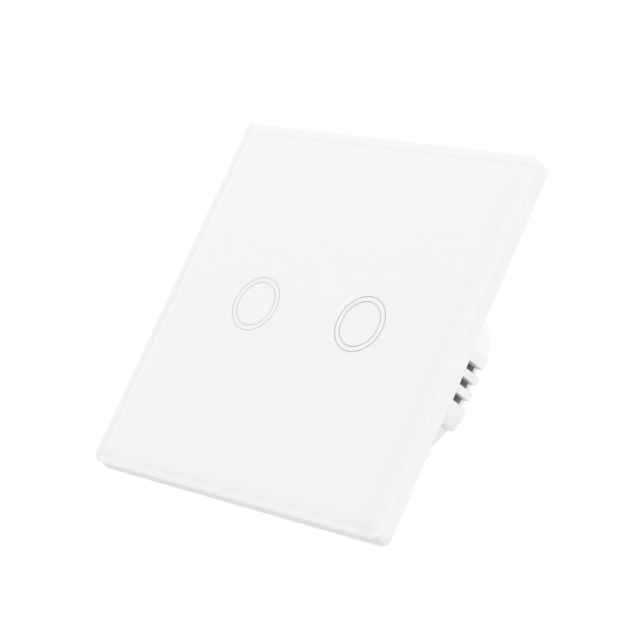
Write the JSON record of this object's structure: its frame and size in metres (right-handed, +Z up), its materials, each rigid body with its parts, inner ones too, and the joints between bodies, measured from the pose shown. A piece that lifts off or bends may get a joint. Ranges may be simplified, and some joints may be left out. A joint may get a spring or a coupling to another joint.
{
  "type": "touch light switch",
  "caption": "Square white glass touch light switch with ring marks, and a round housing behind it for a wall box.",
  "frame": {"origin": "midway between the two wall box screws, on the plane of the wall", "axes": "+Z up as mounted; -Y out of the wall towards the user; +Y into the wall; +X to the right seen from the front"},
  "size_m": [0.0866, 0.0293, 0.0866],
  "materials": {
    "glass": "polished, back-printed white",
    "mark_print": "printed grey line",
    "tape": "matt foam tape",
    "frame_plastic": "fine satin",
    "light_guide": "milky",
    "housing_plastic": "fine satin",
    "block_plastic": "satin",
    "plate_steel": "zinc plated",
    "screw_steel": "zinc plated",
    "brass": "nickel bright",
    "board": "solder resist",
    "chip": "moulded",
    "lamp": "clear moulded",
    "spring_wire": "bright",
    "relay_plastic": "moulded",
    "relay_base_plastic": "moulded",
    "iron": "nickel plated",
    "copper_winding": "enamelled",
    "tape_yellow": "wound tape",
    "ferrite": "sintered",
    "can": "sleeved can",
    "film_box": "moulded box",
    "varistor_coat": "dipped",
    "fuse_body": "moulded"
  },
  "bodies": {
    "base": {"mounting_plate": "plate_steel", "plate_screws": "screw_steel", "rear_housing": "housing_plastic", "rear_cover": "housing_plastic", "cover_screws": "screw_steel", "touch_board": "board", "touch_board_screws": "screw_steel", "touch_spring_left": "spring_wire", "touch_spring_right": "spring_wire", "indicator_leds": "lamp", "touch_chip": "chip", "board_socket": "chip", "board_header": "chip", "power_board": "board", "power_board_screws": "screw_steel", "rectifier": "chip", "transformer_core": "ferrite", "transformer_winding": "tape_yellow", "bulk_capacitor": "can", "film_capacitor": "film_box", "varistor": "varistor_coat", "fuse": "fuse_body", "terminal_block": "block_plastic", "terminal_bars": "brass", "relay_case_1": "relay_plastic", "relay_base_1": "relay_base_plastic", "relay_yoke_1": "iron", "relay_coil_1": "copper_winding", "relay_contact_1": "brass", "relay_case_2": "relay_plastic", "relay_base_2": "relay_base_plastic", "relay_yoke_2": "iron", "relay_coil_2": "copper_winding", "relay_contact_2": "brass"},
    "front_panel": {"glass_panel": "glass", "touch_mark_left": "mark_print", "touch_mark_right": "mark_print", "bonding_tape": "tape", "front_frame": "frame_plastic", "light_guide_left": "light_guide", "light_guide_right": "light_guide", "panel_latches": "frame_plastic"},
    "armature_1": {"relay_armature_1": "iron"},
    "armature_2": {"relay_armature_2": "iron"},
    "screw_1": {"terminal_screw_1": "screw_steel"},
    "clamp_1": {"terminal_clamp_1": "brass"},
    "screw_2": {"terminal_screw_2": "screw_steel"},
    "clamp_2": {"terminal_clamp_2": "brass"},
    "screw_3": {"terminal_screw_3": "screw_steel"},
    "clamp_3": {"terminal_clamp_3": "brass"},
    "screw_4": {"terminal_screw_4": "screw_steel"},
    "clamp_4": {"terminal_clamp_4": "brass"}
  },
  "joints": [
    {"name": "panel_pull_off", "type": "slide", "parent": "base", "child": "front_panel", "axis": [0, -1, 0], "range_m": [0, 0.03], "deforming": ["panel_latches", "touch_spring_left", "touch_spring_right"]},
    {"name": "relay_1_armature", "type": "hinge", "parent": "base", "child": "armature_1", "pos_m": [-0.00825, 0.0165, 0.01464], "axis": [0, 0, -1], "range_deg": [0, 3], "stiffness_Nm_per_rad": 0.0005, "springref_deg": -2.86},
    {"name": "relay_2_armature", "type": "hinge", "parent": "base", "child": "armature_2", "pos_m": [-0.00825, 0.0165, 0.00644], "axis": [0, 0, -1], "range_deg": [0, 3], "stiffness_Nm_per_rad": 0.0005, "springref_deg": -2.86},
    {"name": "terminal_1_clamp", "type": "slide", "parent": "base", "child": "clamp_1", "axis": [0, 1, 0], "range_m": [0, 0.0034]},
    {"name": "terminal_1_screw", "type": "hinge", "parent": "base", "child": "screw_1", "pos_m": [-0.0111, 0.02, -0.01831], "axis": [0, -1, 0], "range_deg": [0, 2040.1]},
    {"name": "terminal_2_clamp", "type": "slide", "parent": "base", "child": "clamp_2", "axis": [0, 1, 0], "range_m": [0, 0.0034]},
    {"name": "terminal_2_screw", "type": "hinge", "parent": "base", "child": "screw_2", "pos_m": [-0.0037, 0.02, -0.01831], "axis": [0, -1, 0], "range_deg": [0, 2040.1]},
    {"name": "terminal_3_clamp", "type": "slide", "parent": "base", "child": "clamp_3", "axis": [0, 1, 0], "range_m": [0, 0.0034]},
    {"name": "terminal_3_screw", "type": "hinge", "parent": "base", "child": "screw_3", "pos_m": [0.0037, 0.02, -0.01831], "axis": [0, -1, 0], "range_deg": [0, 2040.1]},
    {"name": "terminal_4_clamp", "type": "slide", "parent": "base", "child": "clamp_4", "axis": [0, 1, 0], "range_m": [0, 0.0034]},
    {"name": "terminal_4_screw", "type": "hinge", "parent": "base", "child": "screw_4", "pos_m": [0.0111, 0.02, -0.01831], "axis": [0, -1, 0], "range_deg": [0, 2040.1]}
  ],
  "couplings": [
    {"joint": "terminal_1_screw", "follows": "terminal_1_clamp", "rad_per_m": 10472},
    {"joint": "terminal_2_screw", "follows": "terminal_2_clamp", "rad_per_m": 10472},
    {"joint": "terminal_3_screw", "follows": "terminal_3_clamp", "rad_per_m": 10472},
    {"joint": "terminal_4_screw", "follows": "terminal_4_clamp", "rad_per_m": 10472}
  ]
}
